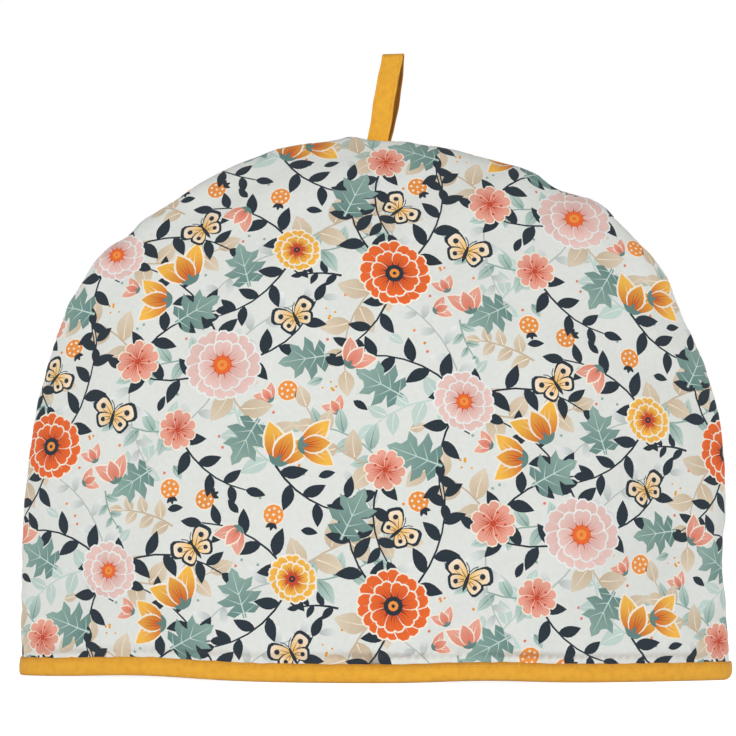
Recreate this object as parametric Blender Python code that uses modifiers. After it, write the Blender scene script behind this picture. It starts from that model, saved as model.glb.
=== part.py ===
"""Tea cosy: two padded dome panels seamed together, a bound hem and a hanging loop.

Metres, +Z up. The origin is the middle of the hem ring, on the surface that the cosy stands on.
+X runs along the width, from seam to seam, and the front panel faces -Y.
"""
from math import atan2, cos, degrees, exp, pi, radians, sin, sqrt, tan

import bmesh
import bpy
from mathutils import Matrix

# Driving dimensions of the dome
PANEL_HALF_WIDTH = 0.169
DOME_HEIGHT = 0.2562
HEM_HALF_DEPTH = 0.059
WIDTH_POWER = 2.0
HEIGHT_POWER = 3.6

# Padding: the thickness in the body and at the hem, where the binding squeezes it
BODY_THICKNESS = 0.008
HEM_THICKNESS = 0.005
BODY_SEAM_WIDTH = 0.008
HEM_SEAM_WIDTH = 0.004
EDGE_ROUNDING = 0.005
EDGE_SHARPNESS = 25
BELLY = 0.0025
PUFF_HEIGHT = 0.040

# Clearance between any two pieces
GAP = 0.0003

# Hem binding
TAPE_THICKNESS = 0.001
TAPE_HEIGHT = 0.0088
TAPE_CORNER = 0.0004

# Hanging loop: a strap folded in half, its two ends sewn into the top of the seam
STRAP_WIDTH = 0.0105
STRAP_THICKNESS = 0.0011
LOOP_HEIGHT = 0.0415
LOOP_ROOT = 0.006
LOOP_BULGE = 0.0038
LOOP_X = 0.0016
LOOP_LEAN = radians(8.8)
LOOP_TURN = radians(-14)
STRAND_STEPS = 14

# Mesh density
COLUMNS = 36
ROWS = 26

# Where the dome's edge stands out or falls in: direction from the hem's middle, push and spread
EDGE_SWELLS = [
    {"angle": 8.0, "push": -0.0017, "spread": 4.5},
    {"angle": 18.0, "push": -0.0037, "spread": 6.0},
    {"angle": 36.5, "push": 0.0014, "spread": 4.5},
    {"angle": 56.0, "push": 0.0014, "spread": 4.0},
    {"angle": 64.0, "push": 0.0036, "spread": 2.8},
    {"angle": 69.8, "push": -0.0021, "spread": 2.6},
    {"angle": 79.0, "push": -0.0012, "spread": 4.0},
    {"angle": 99.0, "push": 0.0012, "spread": 4.5},
    {"angle": 113.0, "push": -0.0025, "spread": 3.8},
    {"angle": 125.0, "push": 0.0021, "spread": 4.5},
]

# Soft dents (negative) and swells in each panel's face: place, reach along X and Z, and push
FRONT_FORMS = [
    {"x": -0.085, "z": 0.075, "reach_x": 0.050, "reach_z": 0.040, "push": 0.0016},
    {"x": 0.070, "z": 0.060, "reach_x": 0.055, "reach_z": 0.035, "push": -0.0016},
    {"x": 0.095, "z": 0.170, "reach_x": 0.022, "reach_z": 0.045, "push": -0.0020},
    {"x": -0.055, "z": 0.185, "reach_x": 0.050, "reach_z": 0.025, "push": -0.0016},
    {"x": 0.010, "z": 0.120, "reach_x": 0.060, "reach_z": 0.040, "push": 0.0018},
]
BACK_FORMS = [
    {"x": -0.070, "z": 0.110, "reach_x": 0.060, "reach_z": 0.040, "push": -0.0018},
    {"x": 0.060, "z": 0.080, "reach_x": 0.060, "reach_z": 0.045, "push": 0.0016},
    {"x": 0.020, "z": 0.190, "reach_x": 0.050, "reach_z": 0.030, "push": -0.0016},
]

PRINT_GROUND = (0.80, 0.82, 0.79, 1.0)
MUSTARD = (0.78, 0.38, 0.035, 1.0)


def clear_scene():
    for old in list(bpy.data.objects):
        bpy.data.objects.remove(old, do_unlink=True)


def new_collection(name):
    collection = bpy.data.collections.new(name)
    bpy.context.scene.collection.children.link(collection)
    return collection


def cloth_material(name, colour, roughness):
    material = bpy.data.materials.new(name)
    material.use_nodes = True
    shader = material.node_tree.nodes["Principled BSDF"]
    shader.inputs["Base Color"].default_value = colour
    shader.inputs["Roughness"].default_value = roughness
    shader.inputs["Metallic"].default_value = 0.0
    return material


def ease(value):
    """0 up to 0, 1 from 1 on, with a smooth rise between."""
    value = min(max(value, 0.0), 1.0)
    return value * value * (3 - 2 * value)


def row_fractions():
    """Heights of the rows as parts of the dome's height: close together towards the top."""
    hem_row = (TAPE_HEIGHT + 0.0017) / DOME_HEIGHT
    upper_rows = [hem_row + (1 - hem_row) * sin(pi / 2 * row / (ROWS - 1)) for row in range(ROWS)]
    return [0.0] + upper_rows


def across(step):
    """Place across the width, -1 to 1, for a step from -1 to 1: close together towards the seams."""
    return sin(pi / 2 * step)


def edge_push(x, z):
    """How far the dome's edge is pushed out in the direction of this point."""
    angle = degrees(atan2(z, x))
    return sum(swell["push"] * exp(-((angle - swell["angle"]) / swell["spread"]) ** 2)
               for swell in EDGE_SWELLS)


def face_push(x, z, forms):
    return sum(form["push"] * exp(-((x - form["x"]) / form["reach_x"]) ** 2
                                  - ((z - form["z"]) / form["reach_z"]) ** 2)
               for form in forms)


def panel_point(u, height_fraction, inside, forms):
    """A point of the front panel's outer or inner surface, as (x, distance from the seam, z)."""
    closing = height_fraction ** HEIGHT_POWER
    puff = ease((height_fraction * DOME_HEIGHT - TAPE_HEIGHT) / PUFF_HEIGHT)
    seat = TAPE_THICKNESS + GAP
    fullness = HEM_HALF_DEPTH - EDGE_ROUNDING + BELLY * puff
    nearness = u * u * (1 - closing) + closing
    if inside:
        seam_width = HEM_SEAM_WIDTH + (BODY_SEAM_WIDTH - HEM_SEAM_WIDTH) * puff
        thickness = HEM_THICKNESS + (BODY_THICKNESS - HEM_THICKNESS) * puff
        fullness += EDGE_ROUNDING - thickness
        half_width = PANEL_HALF_WIDTH - seam_width
        height = DOME_HEIGHT - BODY_SEAM_WIDTH
        rounding = 0.0
    else:
        half_width = PANEL_HALF_WIDTH
        height = DOME_HEIGHT
        rounding = EDGE_ROUNDING * sqrt(max(0.0, 1 - nearness ** EDGE_SHARPNESS))
    x = u * half_width * (1 - closing) ** (1 / WIDTH_POWER)
    z = seat + height_fraction * (height - seat)
    depth = GAP / 2 + fullness * (1 - nearness) + rounding
    depth += face_push(x, z, forms) * (1 - nearness) * puff
    reach = sqrt(x * x + z * z)
    stretch = 1 + edge_push(x, z) * nearness / max(reach, 0.01)
    return x * stretch, depth, seat + (z - seat) * stretch


def padded_panel(name, side, forms, material, collection):
    """A padded sheet: a flat slab of columns and rows, bent into the dome. side is -1 for the front."""
    heights = row_fractions()
    bm = bmesh.new()
    bmesh.ops.create_grid(bm, x_segments=COLUMNS, y_segments=ROWS, size=1.0)
    sheet = bmesh.ops.extrude_face_region(bm, geom=bm.faces[:], use_keep_orig=True)
    inner = {item for item in sheet["geom"] if isinstance(item, bmesh.types.BMVert)}
    for vertex in bm.verts:
        row = round((vertex.co.y + 1) / 2 * ROWS)
        x, depth, z = panel_point(across(vertex.co.x), heights[row], vertex in inner, forms)
        vertex.co = (x, side * depth, z)
    bmesh.ops.remove_doubles(bm, verts=bm.verts[:], dist=0.00001)
    bmesh.ops.recalc_face_normals(bm, faces=bm.faces[:])
    return add_object(name, bm, material, collection)


def add_object(name, bm, material, collection):
    mesh = bpy.data.meshes.new(name)
    bm.to_mesh(mesh)
    bm.free()
    mesh.materials.append(material)
    mesh.shade_smooth()
    mesh.set_sharp_from_angle(angle=radians(50))
    piece = bpy.data.objects.new(name, mesh)
    collection.objects.link(piece)
    return piece


def panel_hem_line():
    """The panels' outer hem line, seen from above, once round anticlockwise from the left seam."""
    steps = [across(2 * column / COLUMNS - 1) for column in range(COLUMNS + 1)]
    line = [panel_point(u, 0.0, False, [])[:2] for u in steps]
    return closed_ring(line)


def inner_hem_line(clearance):
    """The lens-shaped line inside the panels' inner hem line, this far clear of it."""
    half_width, _, _ = panel_point(1.0, 0.0, True, [])
    _, half_depth, _ = panel_point(0.0, 0.0, True, [])
    seam_slope = atan2(2 * half_depth, half_width)
    half_width -= clearance / sin(seam_slope)
    half_depth -= clearance
    steps = [across(2 * column / COLUMNS - 1) for column in range(COLUMNS + 1)]
    return closed_ring([(u * half_width, half_depth * (1 - u * u)) for u in steps])


def closed_ring(line):
    """A half line from seam to seam, mirrored into a ring whose two end points lie on the seam."""
    front = [(x, -depth) for x, depth in line[1:-1]]
    back = [(x, depth) for x, depth in reversed(line[1:-1])]
    return [(line[0][0], 0.0)] + front + [(line[-1][0], 0.0)] + back


def offset_ring(ring, distance):
    """The ring moved outwards by a distance, with mitred corners."""
    moved = []
    for place, (x, y) in enumerate(ring):
        before = ring[place - 1]
        after = ring[(place + 1) % len(ring)]
        normal_in = outward(before, (x, y))
        normal_out = outward((x, y), after)
        spread = 1 + normal_in[0] * normal_out[0] + normal_in[1] * normal_out[1]
        moved.append((x + distance * (normal_in[0] + normal_out[0]) / spread,
                      y + distance * (normal_in[1] + normal_out[1]) / spread))
    return moved


def outward(start, end):
    """Unit normal to the right of a step along the ring, which runs anticlockwise from above."""
    dx = end[0] - start[0]
    dy = end[1] - start[1]
    length = sqrt(dx * dx + dy * dy)
    return dy / length, -dx / length


def hem_binding(material, collection):
    """Folded tape round the hem: a U section, open at the top, run once round both panels."""
    outer = panel_hem_line()
    clear = GAP
    full = GAP + TAPE_THICKNESS
    section = [
        (offset_ring(outer, full - TAPE_CORNER), 0.0),
        (offset_ring(outer, full), TAPE_CORNER),
        (offset_ring(outer, full), TAPE_HEIGHT - TAPE_CORNER),
        (offset_ring(outer, full - TAPE_CORNER), TAPE_HEIGHT),
        (offset_ring(outer, clear), TAPE_HEIGHT),
        (offset_ring(outer, clear), TAPE_THICKNESS),
        (inner_hem_line(clear), TAPE_THICKNESS),
        (inner_hem_line(clear), TAPE_HEIGHT),
        (inner_hem_line(full), TAPE_HEIGHT),
        (inner_hem_line(full), 0.0),
    ]
    bm = bmesh.new()
    lines = [[bm.verts.new((x, y, z)) for x, y in ring] for ring, z in section]
    for place, line in enumerate(lines):
        partner = lines[place - 1]
        for step in range(len(line)):
            bm.faces.new((line[step - 1], line[step], partner[step], partner[step - 1]))
    bmesh.ops.recalc_face_normals(bm, faces=bm.faces[:])
    return add_object("hem_binding", bm, material, collection)


def strap_path():
    """The folded strap's middle line, as (y, z) from one sewn end over the fold to the other."""
    closed_half = STRAP_THICKNESS / 2 + GAP / 2
    top = LOOP_HEIGHT - STRAP_THICKNESS / 2
    strand = []
    for step in range(STRAND_STEPS + 1):
        z = -LOOP_ROOT + (top - closed_half + LOOP_ROOT) * step / STRAND_STEPS
        rise = min(max(z / LOOP_HEIGHT, 0.0), 1.0)
        strand.append((closed_half + LOOP_BULGE * sin(pi * rise) ** 1.2, z))
    front = [(-y, z) for y, z in strand]
    return front + [(0.0, top)] + list(reversed(strand))


def loop_slant():
    """The loop's lean to the right, which leaves its fold level, in the loop's own turned axes."""
    return Matrix.Shear("XY", 4, (tan(LOOP_LEAN) * cos(LOOP_TURN), -tan(LOOP_LEAN) * sin(LOOP_TURN)))


def place_loop(piece):
    """Stands a piece drawn at the origin at the top of the seam, turned a little."""
    crown = panel_point(0.0, 1.0, False, [])[2]
    piece.location = (LOOP_X, 0.0, crown)
    piece.rotation_euler = (0.0, 0.0, LOOP_TURN)


def hanging_loop(material, collection):
    """A strap strip along its path, given its thickness by Solidify."""
    path = strap_path()
    bm = bmesh.new()
    edges = [[bm.verts.new((x, y, z)) for y, z in path]
             for x in (-STRAP_WIDTH / 2, 0.0, STRAP_WIDTH / 2)]
    for left, right in zip(edges, edges[1:]):
        for step in range(len(path) - 1):
            bm.faces.new((left[step], left[step + 1], right[step + 1], right[step]))
    bmesh.ops.transform(bm, matrix=loop_slant(), verts=bm.verts[:])
    loop = add_object("hanging_loop", bm, material, collection)
    place_loop(loop)
    thickness = loop.modifiers.new("strap_thickness", "SOLIDIFY")
    thickness.thickness = STRAP_THICKNESS
    thickness.offset = 0.0
    thickness.use_even_offset = True
    return loop


def loop_pocket(collection):
    """The pocket in the seam that the strap's two sewn ends go down into."""
    bpy.ops.mesh.primitive_cube_add(size=1.0)
    pocket = bpy.context.object
    pocket.name = "loop_pocket"
    for owner in list(pocket.users_collection):
        owner.objects.unlink(pocket)
    collection.objects.link(pocket)
    depth = 2 * (LOOP_ROOT + GAP)
    size = (STRAP_WIDTH + 2 * GAP, 2 * STRAP_THICKNESS + 3 * GAP, depth)
    pocket.data.transform(loop_slant() @ Matrix.Diagonal((*size, 1.0)))
    place_loop(pocket)
    pocket.hide_render = True
    pocket.display_type = "WIRE"
    return pocket


def cut(piece, cutter):
    boolean = piece.modifiers.new("cut_" + cutter.name, "BOOLEAN")
    boolean.operation = "DIFFERENCE"
    boolean.object = cutter


def build():
    clear_scene()
    parts = new_collection("tea_cosy")
    cutters = new_collection("cutters")
    printed = cloth_material("printed_cotton", PRINT_GROUND, 0.85)
    mustard = cloth_material("mustard_tape", MUSTARD, 0.8)
    front = padded_panel("front_panel", -1, FRONT_FORMS, printed, parts)
    back = padded_panel("back_panel", 1, BACK_FORMS, printed, parts)
    hem_binding(mustard, parts)
    hanging_loop(mustard, parts)
    pocket = loop_pocket(cutters)
    cut(front, pocket)
    cut(back, pocket)


build()
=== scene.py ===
"""Looks of the tea cosy: printed padded panels, bound hem, hanging loop, stitching, camera and light.

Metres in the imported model's frame. The print is laid out flat, in millimetres of cloth, and carried
onto the dome by the same formulas that shape the solids.
"""

import random
from math import atan2, cos, pi, radians, sin, sqrt, tan

import bmesh
import bpy
import numpy as np
from mathutils import Matrix, Vector
from mathutils.geometry import delaunay_2d_cdt


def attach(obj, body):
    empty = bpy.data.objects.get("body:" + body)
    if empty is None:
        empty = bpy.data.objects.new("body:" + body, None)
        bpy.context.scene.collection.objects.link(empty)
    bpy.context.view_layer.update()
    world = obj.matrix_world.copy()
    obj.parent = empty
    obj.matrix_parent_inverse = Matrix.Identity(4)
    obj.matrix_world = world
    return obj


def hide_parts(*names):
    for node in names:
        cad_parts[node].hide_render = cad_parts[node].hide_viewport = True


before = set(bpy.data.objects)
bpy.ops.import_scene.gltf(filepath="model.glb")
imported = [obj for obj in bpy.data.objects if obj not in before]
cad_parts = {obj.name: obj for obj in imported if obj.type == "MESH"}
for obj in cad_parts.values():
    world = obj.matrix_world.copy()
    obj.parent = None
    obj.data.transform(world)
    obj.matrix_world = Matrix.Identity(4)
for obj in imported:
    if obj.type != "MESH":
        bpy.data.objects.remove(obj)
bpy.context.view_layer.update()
MM = 0.001


def table(columns, rows):
    """Rows under named columns."""
    return [dict(zip(columns.split(), row)) for row in rows]


# ---------------------------------------------------------------- dome and padding, as in the solids
PANEL_HALF_WIDTH = 0.169
DOME_HEIGHT = 0.2562
HEM_HALF_DEPTH = 0.059
HEIGHT_POWER = 3.6
BODY_THICKNESS = 0.008
HEM_THICKNESS = 0.005
BODY_SEAM_WIDTH = 0.008
HEM_SEAM_WIDTH = 0.004
EDGE_ROUNDING = 0.005
EDGE_SHARPNESS = 25
BELLY = 0.0025
PUFF_HEIGHT = 0.040
GAP = 0.0003
TAPE_THICKNESS = 0.001
TAPE_HEIGHT = 0.0088
SEAT = TAPE_THICKNESS + GAP

# Swells of the dome's edge: degrees round the middle of the hem, metres outward, degrees to fade
EDGE_SWELLS = table("angle push spread", [
    (8.0, -0.0017, 4.5),
    (18.0, -0.0037, 6.0),
    (36.5, 0.0014, 4.5),
    (56.0, 0.0014, 4.0),
    (64.6, 0.0034, 2.8),
    (70.6, -0.0023, 2.4),
    (79.0, -0.0012, 4.0),
    (99.0, 0.0012, 4.5),
    (113.0, -0.0025, 3.8),
    (125.0, 0.0023, 4.5),
])
# Puckers of the seam too fine for the solids
EDGE_PUCKERS = table("angle push spread", [
    (8.0, 0.0006, 4.5),
    (49.5, -0.0012, 3.5),
    (53.2, 0.0010, 1.5),
    (56.5, 0.0008, 3.5),
    (60.5, 0.0007, 1.5),
    (72.2, 0.0014, 1.2),
    (92.7, 0.0021, 1.3),
    (95.4, 0.0006, 2.4),
    (101.0, 0.0005, 1.6),
    (111.5, 0.0005, 3.0),
    (120.2, -0.0020, 2.2),
    (121.8, 0.0010, 2.0),
    (129.8, 0.0010, 1.3),
    (132.5, 0.0012, 2.6),
    (173.5, 0.0006, 2.2),
    (175.0, -0.0010, 6.0),
    (180.0, -0.0005, 2.4),
])
# Where the front's hem lifts a little off the table, and how far up the panel that fades
HEM_WAVES = table("x lift reach", [(-0.108, 0.0018, 0.034), (0.050, 0.0012, 0.030)])
HEM_LIFT_FADE = 0.05
# How far the hem's lower corners are rounded up
LEFT_CORNER = 0.0022
RIGHT_CORNER = 0.0042
# Broad soft forms of each panel
FRONT_FORMS = table("x z reach_x reach_z push", [
    (-0.085, 0.075, 0.050, 0.040, 0.0016),
    (0.070, 0.060, 0.055, 0.035, -0.0016),
    (0.095, 0.170, 0.022, 0.045, -0.0020),
    (-0.055, 0.185, 0.050, 0.025, -0.0016),
    (0.010, 0.120, 0.060, 0.040, 0.0018),
])
BACK_FORMS = table("x z reach_x reach_z push", [
    (-0.070, 0.110, 0.060, 0.040, -0.0018),
    (0.060, 0.080, 0.060, 0.045, 0.0016),
    (0.020, 0.190, 0.050, 0.030, -0.0016),
])
# Creases: a soft trough between two places on the flat panel, in millimetres
FRONT_CREASES = table("x0 y0 x1 y1 width depth", [
    (100, 250, 82, 206, 5, 1.3),
    (128, 196, 84, 168, 7, 1.1),
    (150, 150, 118, 128, 8, 0.8),
    (-146, 168, -108, 150, 8, 1.0),
    (-96, 236, -70, 196, 7, 0.9),
    (-40, 262, -6, 248, 7, 0.9),
    (20, 272, 34, 226, 8, 0.8),
    (-168, 60, -128, 74, 9, 0.8),
    (172, 44, 132, 58, 9, 1.0),
    (-60, 12, -48, 52, 9, 0.7),
    (88, 12, 74, 50, 10, 0.7),
])
BACK_CREASES = table("x0 y0 x1 y1 width depth", [
    (140, 170, 96, 150, 8, 0.8),
    (-120, 206, -82, 176, 8, 0.7),
    (-10, 270, -24, 226, 8, 0.6),
    (40, 14, 52, 60, 10, 0.6),
])

# ---------------------------------------------------------------- small relief of the padded cloth
GROOVE_DEPTH = 0.0016
GROOVE_REACH = 0.0017
GATHER_HEIGHT = 0.00075
GATHER_REACH = 0.011
ROLL_HEIGHT = 0.0024
ROLL_REACH = 0.020
ROLL_FROM_SEAM = 0.030
RIPPLE_HEIGHT = 0.00040
LOFT_HEIGHT = 0.00085
RUFFLE_HEIGHT = 0.00020
PINCH_DEPTH = 0.0005
PINCH_RISE = 0.0036
PINCH_WIDTH = 0.0012
MOUTH_OPENING = 0.0011

# ---------------------------------------------------------------- hanging loop
STRAP_WIDTH = 0.0105
STRAP_THICKNESS = 0.0011
LOOP_HEIGHT = 0.0415
LOOP_ROOT = 0.006
LOOP_BULGE = 0.0038
LOOP_X = 0.0016
LOOP_LEAN = radians(8.8)
LOOP_TURN = radians(-14)


# ================================================================ the padded panels' surface
def ease(value):
    value = np.clip(value, 0.0, 1.0)
    return value * value * (3 - 2 * value)


def bell(value, reach):
    return np.exp(-(value / reach) ** 2)


def edge_push(angle):
    degrees = np.degrees(angle)
    return sum(row["push"] * bell(degrees - row["angle"], row["spread"])
               for row in EDGE_SWELLS + EDGE_PUCKERS)


def hem_lift(x, height):
    """How far the front's hem is off the table, fading up the panel."""
    waves = sum(row["lift"] * bell(x - row["x"], row["reach"]) for row in HEM_WAVES)
    return waves * bell(height, HEM_LIFT_FADE)


def corner_lift(x, height):
    """How far a place of the hem is raised by the round of its two lower corners."""
    radius = np.where(x < 0, LEFT_CORNER, RIGHT_CORNER)
    inward = np.clip((PANEL_HALF_WIDTH - np.abs(x)) / radius, 0, 1)
    return radius * (1 - np.sqrt(1 - (1 - inward) ** 2)) * np.clip(1 - height / TAPE_HEIGHT, 0, 1)


def closeness(x, z, half_width, height):
    """0 at the middle of the hem, 1 along the dome's edge."""
    return (np.abs(x) / half_width) ** 2 + (np.maximum(z, 0) / height) ** HEIGHT_POWER


def edge_reach(angle, half_width, height):
    """How far the dome's edge is from the middle of the hem, in each direction."""
    low = np.zeros_like(angle)
    high = np.full_like(angle, 0.5)
    for _ in range(45):
        middle = (low + high) / 2
        inside = closeness(middle * np.cos(angle), middle * np.sin(angle), half_width, height) < 1
        low = np.where(inside, middle, low)
        high = np.where(inside, high, middle)
    return (low + high) / 2


def laid_out(reach, angle, half_width, dome_height):
    """Places by their reach and angle: across, up, how near the dome's edge, how full of padding."""
    x = reach * np.cos(angle)
    height = reach * np.sin(angle)
    near = np.minimum(closeness(x, height, half_width, dome_height), 1.0)
    return x, height, near, ease((height - TAPE_HEIGHT) / PUFF_HEIGHT)


def ripple(along, phase):
    """An uneven wave along a seam, between about -1 and 1."""
    return (0.5 * np.sin(along / 0.0024 + phase) * np.sin(along / 0.031 + 2.1 * phase)
            + 0.35 * np.sin(along / 0.0041 + 1.7 * phase)
            + 0.35 * np.sin(along / 0.0093 + 0.6 * phase))


# Steps by which a surface is felt for its slope, and how near the middle of the hem that is done
SMALL_STEP = 0.004
LEAST_STEP = 0.03
REACH_ANGLES = np.linspace(0, pi, 2881)
OUTER_REACH = edge_reach(REACH_ANGLES, PANEL_HALF_WIDTH, DOME_HEIGHT)
INNER_REACH = edge_reach(REACH_ANGLES, PANEL_HALF_WIDTH - BODY_SEAM_WIDTH, DOME_HEIGHT - BODY_SEAM_WIDTH)


def turn_of(flat):
    """The angle of flat places round the middle of the hem, 0 at the right and pi at the left."""
    return np.arctan2(np.maximum(flat[:, 1], 0), flat[:, 0])


class PanelCloth:
    """Carries places on one panel's flat cloth onto the dome.

    A place is told by its angle round the middle of the hem and a step from 0 there to 1 at the seam.
    """

    def __init__(self, side, forms, creases, phase):
        self.side = side
        self.forms = forms
        self.creases = creases
        self.phase = phase
        self.angles = np.linspace(0, pi, 361)
        self.steps = np.linspace(0, 1, 97)
        places = self.smooth(*np.meshgrid(self.angles, self.steps, indexing="ij"))
        stride = np.linalg.norm(np.diff(places, axis=1), axis=2)
        start = np.zeros((len(self.angles), 1))
        self.lengths = np.concatenate([start, np.cumsum(stride, axis=1)], axis=1)
        self.reach = self.lengths[:, -1]
        parts = np.sin(pi / 2 * self.steps)
        self.step_of_part = np.array([np.interp(parts * length[-1], length, self.steps)
                                      for length in self.lengths])

    def smooth(self, angle, step):
        """The padded panel without its creases and gathers."""
        reach = np.sin(pi / 2 * step) * np.interp(angle, REACH_ANGLES, OUTER_REACH)
        x, height, near, puff = laid_out(reach, angle, PANEL_HALF_WIDTH, DOME_HEIGHT)
        depth = GAP / 2 + (HEM_HALF_DEPTH - EDGE_ROUNDING + BELLY * puff) * (1 - near)
        depth = depth + EDGE_ROUNDING * np.sqrt(np.maximum(1 - near ** EDGE_SHARPNESS, 0))
        for form in self.forms:
            across = (x - form["x"]) / form["reach_x"]
            up = (height - form["z"]) / form["reach_z"]
            depth = depth + form["push"] * (1 - near) * puff * np.exp(-across ** 2 - up ** 2)
        return self.stretched(x, depth, height * (DOME_HEIGHT - SEAT) / DOME_HEIGHT, angle, near)

    def stretched(self, x, depth, height, angle, near):
        """A place pushed out by its edge's swells and lifted by the hem's waves and corners."""
        stretch = 1 + edge_push(angle) * near / np.maximum(np.sqrt(x * x + height * height), 0.01)
        rise = corner_lift(x, height)
        if self.side < 0:
            rise = rise + hem_lift(x, height) * (1 - near ** 4)
        return np.stack([x * stretch, self.side * depth, SEAT + height * stretch + rise], axis=-1)

    def inside(self, angle, part):
        """The panel's inner face, part of the way from the middle of the hem to the seam."""
        half_width = PANEL_HALF_WIDTH - BODY_SEAM_WIDTH
        reach = part * np.interp(angle, REACH_ANGLES, INNER_REACH)
        x, height, near, puff = laid_out(reach, angle, half_width, DOME_HEIGHT - BODY_SEAM_WIDTH)
        widen = 1 + (BODY_SEAM_WIDTH - HEM_SEAM_WIDTH) * (1 - puff) / half_width
        thickness = HEM_THICKNESS + (BODY_THICKNESS - HEM_THICKNESS) * puff
        depth = GAP / 2 + (HEM_HALF_DEPTH + BELLY * puff - thickness) * (1 - near)
        return self.stretched(x * widen, depth, height, angle, near)

    def locate(self, flat):
        """Angle and step of places given in flat metres, measured from the middle of the hem."""
        angle = turn_of(flat)
        part = np.clip(np.hypot(flat[:, 0], flat[:, 1]) / self.flat_reach(angle), 0, 1)
        return angle, self.read(self.step_of_part, angle, np.arcsin(part) * 2 / pi)

    def flat_reach(self, angle):
        return np.interp(angle, self.angles, self.reach)

    def read(self, values, angle, step):
        """Looks values up between their rows and columns."""
        row = np.clip(angle / pi, 0, 1) * (len(self.angles) - 1)
        column = np.clip(step, 0, 1) * (len(self.steps) - 1)
        r0 = np.minimum(row.astype(int), len(self.angles) - 2)
        c0 = np.minimum(column.astype(int), len(self.steps) - 2)
        r = row - r0
        c = column - c0
        return ((values[r0, c0] * (1 - c) + values[r0, c0 + 1] * c) * (1 - r)
                + (values[r0 + 1, c0] * (1 - c) + values[r0 + 1, c0 + 1] * c) * r)

    def facing(self, place, angle, step):
        """Outward normals of a surface function by small steps of angle and step."""
        step = np.maximum(step, LEAST_STEP)
        before, after = np.maximum(angle - SMALL_STEP, 0), np.minimum(angle + SMALL_STEP, pi)
        radial = place(angle, step) - place(angle, step - SMALL_STEP)
        around = place(after, step) - place(before, step)
        normal = np.cross(radial, around) * -self.side
        return normal / np.maximum(np.linalg.norm(normal, axis=1, keepdims=True), 1e-12)

    def relief(self, angle, step):
        """How far the cloth stands off the smooth panel: seam groove, gathers, creases and loft."""
        phase = self.phase
        length = self.read(self.lengths, angle, step)
        to_seam = self.flat_reach(angle) - length
        x = length * np.cos(angle)
        height = length * np.sin(angle)
        above_tape = height - (TAPE_HEIGHT + 0.0006)
        over = np.maximum(above_tape, 0)
        free = ease(above_tape / 0.0034)
        gathers = ripple(angle * 0.24, phase) * np.exp(-to_seam / GATHER_REACH) * (1 - bell(to_seam, 0.0030))
        loft = (np.sin(x / 0.0117 + 1.9 * np.sin(height / 0.024) + phase)
                * np.sin(height / 0.0103 + 1.4 * np.sin(x / 0.029 + phase))
                + 0.8 * np.sin((x + 0.7 * height) / 0.021 + phase) * np.sin((height - 0.5 * x) / 0.019))
        ruffle = (np.sin(x / 0.0043 + 1.6 * np.sin(height / 0.011))
                  * np.sin(height / 0.0047 + 1.3 * np.sin(x / 0.013)))
        pinch = bell(above_tape - PINCH_RISE - 0.0009 * np.sin(x / 0.017 + phase), PINCH_WIDTH)

        raised = -GROOVE_DEPTH * bell(to_seam, GROOVE_REACH)
        raised = raised + GATHER_HEIGHT * gathers * free
        roll = ROLL_HEIGHT * free * bell(over, ROLL_REACH)
        raised = raised + roll * (0.15 + 0.85 * ease(to_seam / ROLL_FROM_SEAM))
        raised = raised + RIPPLE_HEIGHT * ripple(x, phase + 1.3) * free * np.exp(-over / 0.010)
        raised = raised + (LOFT_HEIGHT * loft + RUFFLE_HEIGHT * ruffle) * free * ease(to_seam / 0.012)
        raised = raised - PINCH_DEPTH * pinch * (0.55 + 0.45 * np.sin(x / 0.027 + 1.1 * phase))
        for crease in self.creases:
            raised = raised - crease["depth"] * MM * self.trough(x / MM, height / MM, crease) * free
        return raised

    def trough(self, x, y, crease):
        """1 along a crease's line, fading to its sides and its ends."""
        dx = crease["x1"] - crease["x0"]
        dy = crease["y1"] - crease["y0"]
        length = sqrt(dx * dx + dy * dy)
        along = ((x - crease["x0"]) * dx + (y - crease["y0"]) * dy) / length
        off = ((x - crease["x0"]) * dy - (y - crease["y0"]) * dx) / length
        off = off + 0.06 * length * np.sin(pi * along / length)
        return (bell(off, crease["width"])
                * (ease(along / (0.35 * length) + 0.4) * ease((length - along) / (0.5 * length))))

    def outside(self, angle, step):
        """The panel's outer face, creases and all, parted a little where the loop's strap goes in."""
        normal = self.facing(self.smooth, angle, step)
        places = self.smooth(angle, step) + normal * self.relief(angle, step)[:, None]
        mouth = MOUTH_OPENING * np.exp(-((places[:, 0] - LOOP_X + 0.0011) / 0.0076) ** 4)
        places[:, 1] += self.side * mouth * bell(DOME_HEIGHT - places[:, 2], 0.006)
        return places




# ================================================================ print
# One repeat of the print, in flat cloth millimetres, laid in a half drop
REPEAT_WIDTH = 168.0
REPEAT_HEIGHT = 156.0

INKS = {
    "ground": (229, 231, 226),
    "lining": (236, 230, 216),
    "navy": (34, 46, 56),
    "sage": (146, 176, 166),
    "deep_sage": (98, 134, 128),
    "mint": (196, 216, 208),
    "mist": (184, 194, 190),
    "pale": (238, 240, 238),
    "cream": (247, 238, 222),
    "tan": (206, 184, 154),
    "pale_tan": (226, 211, 188),
    "coral": (228, 124, 100),
    "pale_coral": (236, 166, 146),
    "red": (200, 72, 42),
    "pink": (236, 202, 194),
    "deep_pink": (224, 160, 148),
    "orange": (235, 104, 38),
    "deep_orange": (202, 72, 26),
    "amber": (240, 148, 62),
    "mustard": (238, 164, 36),
    "gold": (248, 188, 70),
}

# A petal's own ink, its edge's and its streaks'; then the eye's ring, dots and core
PETAL_INKS = {
    "orange": ("orange", "cream", "deep_orange"),
    "pink": ("pink", "pale", "deep_pink"),
    "coral": ("pale_coral", "cream", "coral"),
    "mustard": ("gold", "cream", "deep_orange"),
}
EYE_INKS = {
    "orange": ("navy", "navy", "amber"),
    "pink": ("orange", "red", "amber"),
    "mustard": ("red", "red", "navy"),
}
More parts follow.
